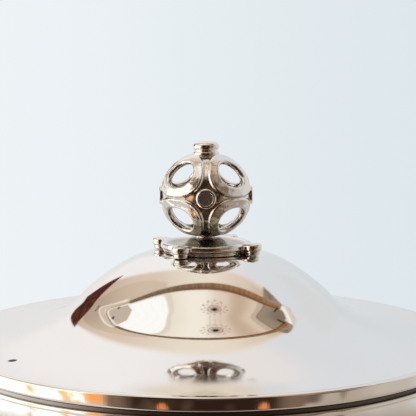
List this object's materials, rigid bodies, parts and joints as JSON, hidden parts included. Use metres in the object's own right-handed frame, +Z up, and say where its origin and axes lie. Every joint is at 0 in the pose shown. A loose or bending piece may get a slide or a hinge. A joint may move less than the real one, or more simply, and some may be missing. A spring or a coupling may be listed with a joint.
{
  "type": "covered sugar bowl",
  "caption": "Round covered bowl in polished silver on a spreading foot, with a domed lift-off lid and a pierced ball finial on a knobbed rosette.",
  "frame": {"origin": "centre of the foot, on the surface that the bowl stands on", "axes": "+Z up along the bowl's axis, which is also the way the lid lifts; -Y is the side that faces the viewer"},
  "size_m": [0.1212, 0.1212, 0.1123],
  "materials": {
    "bowl_silver": "polished silver with fine wipe marks",
    "lid_silver": "mirror-polished silver with fine wipe marks",
    "trim_silver": "polished silver, slightly worn on the edges",
    "finial_silver": "cast polished silver with warm tarnish in the hollows",
    "bezel_disc": "satin tarnished silver disc",
    "fixing_silver": "plain turned silver"
  },
  "bodies": {
    "bowl": {"bowl_body": "bowl_silver", "bowl_rim_ring": "trim_silver", "foot_collar": "trim_silver", "foot_shell": "bowl_silver", "foot_wire": "trim_silver"},
    "lid": {"lid_shell": "lid_silver", "lid_rim_band": "trim_silver", "lid_flange": "lid_silver", "finial_hub": "finial_silver", "finial_rosette": "finial_silver", "finial_neck": "finial_silver", "finial_ball": "finial_silver", "boss_cup_front": "finial_silver", "boss_cup_right": "finial_silver", "boss_cup_back": "finial_silver", "boss_cup_left": "finial_silver", "boss_disc_front": "bezel_disc", "boss_disc_right": "bezel_disc", "boss_disc_back": "bezel_disc", "boss_disc_left": "bezel_disc", "button_flange": "finial_silver", "button_cap": "finial_silver", "finial_stud": "fixing_silver", "finial_washer": "fixing_silver", "finial_nut": "fixing_silver"}
  },
  "joints": [
    {"name": "lid_lift", "type": "slide", "parent": "bowl", "child": "lid", "axis": [0, 0, 1], "range_m": [0, 0.08]}
  ]
}
